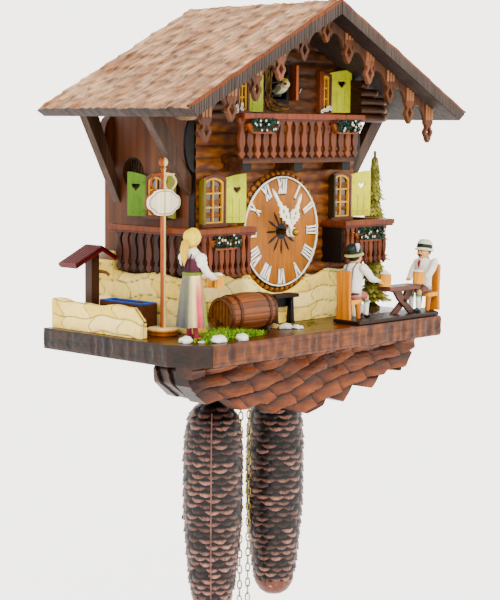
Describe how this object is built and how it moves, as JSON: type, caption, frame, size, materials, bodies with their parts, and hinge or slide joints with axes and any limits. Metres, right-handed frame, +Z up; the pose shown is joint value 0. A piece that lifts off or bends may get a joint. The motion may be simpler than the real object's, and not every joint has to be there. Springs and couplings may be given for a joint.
{
  "type": "cuckoo clock",
  "caption": "Wall-hung chalet cuckoo clock with carved roof, balconies, dial, hands, bird door, pendulum, chains and cone weights.",
  "frame": {"origin": "on the wall face, on the clock's centre line, at the height of the base shelf's top", "axes": "+Z up, +Y into the wall, so the clock faces -Y; +X to the viewer's right"},
  "size_m": [0.334, 0.169, 0.532],
  "materials": {
    "shelf_wood": "oiled, semi-gloss, carved edge",
    "wall_wood": "dark walnut stain, satin",
    "log_wood": "dark stain over log carving, satin",
    "roof_wood": "limed pale brown, carved shingle grooves, matte",
    "fret_wood": "mid brown stain, satin",
    "rail_wood": "orange-brown stain, satin",
    "dial_wood": "orange-brown, satin",
    "window_yellow": "yellow muntins over a dark pane",
    "hand_white": "smooth off-white",
    "brass": "polished",
    "steel": "plain wire and sheet",
    "bellows_wood": "plain unstained",
    "door_wood": "orange-brown, satin",
    "bird_paint": "painted white and yellow",
    "cone_iron": "black with copper-coloured scale tips",
    "stone_paint": "cream paint with grey-brown joints, matte",
    "fountain_paint": "crimson roof on a dark post",
    "trough_wood": "dark stain",
    "sign_wood": "natural turned wood",
    "figure_paint": "hand-painted, satin",
    "barrel_wood": "red-brown stain",
    "bench_wood": "near-black stain",
    "table_wood": "dark stain",
    "chair_wood": "yellow-orange, satin",
    "tree_paint": "olive green, matte"
  },
  "bodies": {
    "case": {"base_shelf": "shelf_wood", "apron": "rail_wood", "back_panel": "wall_wood", "side_wall_left": "wall_wood", "side_wall_right": "wall_wood", "front_wall": "log_wood", "roof_left": "roof_wood", "roof_right": "roof_wood", "bargeboard_left": "fret_wood", "bargeboard_right": "fret_wood", "corbels_left": "log_wood", "corbels_right": "log_wood", "brace_front_left": "wall_wood", "brace_front_right": "wall_wood", "brace_rear_left": "wall_wood", "brace_rear_right": "wall_wood", "upper_balustrade": "rail_wood", "upper_balcony_floor": "log_wood", "lower_balcony_left": "rail_wood", "lower_balcony_right": "rail_wood", "window_left": "window_yellow", "window_right": "window_yellow", "dial": "dial_wood", "movement_front_plate": "brass", "movement_back_plate": "brass", "bellows_left": "bellows_wood", "bellows_right": "bellows_wood", "stone_wall": "stone_paint", "low_wall": "stone_paint", "fountain": "fountain_paint", "trough": "trough_wood", "signpost": "sign_wood", "maiden": "figure_paint", "barrel": "barrel_wood", "bench": "bench_wood", "table": "table_wood", "chair_left": "chair_wood", "chair_right": "chair_wood", "drinker_left": "figure_paint", "drinker_right": "figure_paint", "tree": "tree_paint"},
    "minute_hand": {"minute_hand": "hand_white"},
    "hour_hand": {"hour_hand": "hand_white"},
    "escape_wheel": {"escape_wheel": "brass"},
    "pendulum": {"pendulum": "log_wood"},
    "verge": {"verge": "steel"},
    "weight_left": {"weight_left": "cone_iron", "chain_left_load": "brass"},
    "weight_right": {"weight_right": "cone_iron", "chain_right_load": "brass"},
    "going_chain_wheel": {"going_chain_wheel": "brass"},
    "strike_chain_wheel": {"strike_chain_wheel": "brass"},
    "free_chain_left": {"chain_left_free": "brass"},
    "free_chain_right": {"chain_right_free": "brass"},
    "cuckoo_door": {"cuckoo_door": "door_wood"},
    "cuckoo_bird": {"cuckoo_bird": "bird_paint"},
    "bellows_lid_left": {"bellows_lid_left": "bellows_wood"},
    "bellows_lid_right": {"bellows_lid_right": "bellows_wood"},
    "arm_left": {"drinker_arm_left": "figure_paint"},
    "arm_right": {"drinker_arm_right": "figure_paint"}
  },
  "joints": [
    {"name": "minute_turn", "type": "hinge", "parent": "case", "child": "minute_hand", "pos_m": [0, -0.12, 0.075], "axis": [0, 1, 0], "continuous": true},
    {"name": "hour_turn", "type": "hinge", "parent": "case", "child": "hour_hand", "pos_m": [0, -0.116, 0.075], "axis": [0, 1, 0], "continuous": true},
    {"name": "escape_turn", "type": "hinge", "parent": "case", "child": "escape_wheel", "pos_m": [0, -0.0575, 0.052], "axis": [0, 1, 0], "continuous": true},
    {"name": "pendulum_swing", "type": "hinge", "parent": "case", "child": "pendulum", "pos_m": [0, -0.026, 0.066], "axis": [0, 1, 0], "range_deg": [-6, 6]},
    {"name": "verge_rock", "type": "hinge", "parent": "case", "child": "verge", "pos_m": [0, -0.06, 0.066], "axis": [0, 1, 0], "range_deg": [-6, 6]},
    {"name": "weight_left_drop", "type": "slide", "parent": "case", "child": "weight_left", "axis": [0, 0, -1], "range_m": [0, 0.13]},
    {"name": "weight_right_drop", "type": "slide", "parent": "case", "child": "weight_right", "axis": [0, 0, -1], "range_m": [0, 0.13]},
    {"name": "going_wheel_turn", "type": "hinge", "parent": "case", "child": "going_chain_wheel", "pos_m": [-0.0215, -0.069, 0.04], "axis": [0, 1, 0], "range_deg": [-452, 0]},
    {"name": "strike_wheel_turn", "type": "hinge", "parent": "case", "child": "strike_chain_wheel", "pos_m": [0.0215, -0.069, 0.04], "axis": [0, 1, 0], "range_deg": [0, 452]},
    {"name": "free_chain_left_rise", "type": "slide", "parent": "case", "child": "free_chain_left", "axis": [0, 0, 1], "range_m": [0, 0.13]},
    {"name": "free_chain_right_rise", "type": "slide", "parent": "case", "child": "free_chain_right", "axis": [0, 0, 1], "range_m": [0, 0.13]},
    {"name": "door_swing", "type": "hinge", "parent": "case", "child": "cuckoo_door", "pos_m": [0.0114, -0.1046, 0.195], "axis": [0, 0, 1], "range_deg": [-60, 0]},
    {"name": "bird_slide", "type": "slide", "parent": "case", "child": "cuckoo_bird", "axis": [0, 1, 0], "range_m": [0, 0.02]},
    {"name": "bellows_left_lift", "type": "hinge", "parent": "case", "child": "bellows_lid_left", "pos_m": [-0.07, -0.008, 0.1524], "axis": [-1, 0, 0], "range_deg": [0, 15]},
    {"name": "bellows_right_lift", "type": "hinge", "parent": "case", "child": "bellows_lid_right", "pos_m": [0.07, -0.008, 0.1524], "axis": [-1, 0, 0], "range_deg": [0, 15]},
    {"name": "arm_left_raise", "type": "hinge", "parent": "case", "child": "arm_left", "pos_m": [0.046, -0.1566, 0.048], "axis": [0, -1, 0], "range_deg": [0, 35]},
    {"name": "arm_right_raise", "type": "hinge", "parent": "case", "child": "arm_right", "pos_m": [0.136, -0.1616, 0.048], "axis": [0, 1, 0], "range_deg": [0, 35]}
  ],
  "couplings": [
    {"joint": "hour_turn", "follows": "minute_turn", "ratio": 0.083333},
    {"joint": "escape_turn", "follows": "minute_turn", "ratio": -128},
    {"joint": "verge_rock", "follows": "pendulum_swing", "ratio": 1},
    {"joint": "going_wheel_turn", "follows": "weight_left_drop", "rad_per_m": -60.606},
    {"joint": "free_chain_left_rise", "follows": "weight_left_drop", "ratio": 1},
    {"joint": "strike_wheel_turn", "follows": "weight_right_drop", "rad_per_m": 60.606},
    {"joint": "free_chain_right_rise", "follows": "weight_right_drop", "ratio": 1},
    {"joint": "bird_slide", "follows": "door_swing", "m_per_rad": -0.01909}
  ]
}
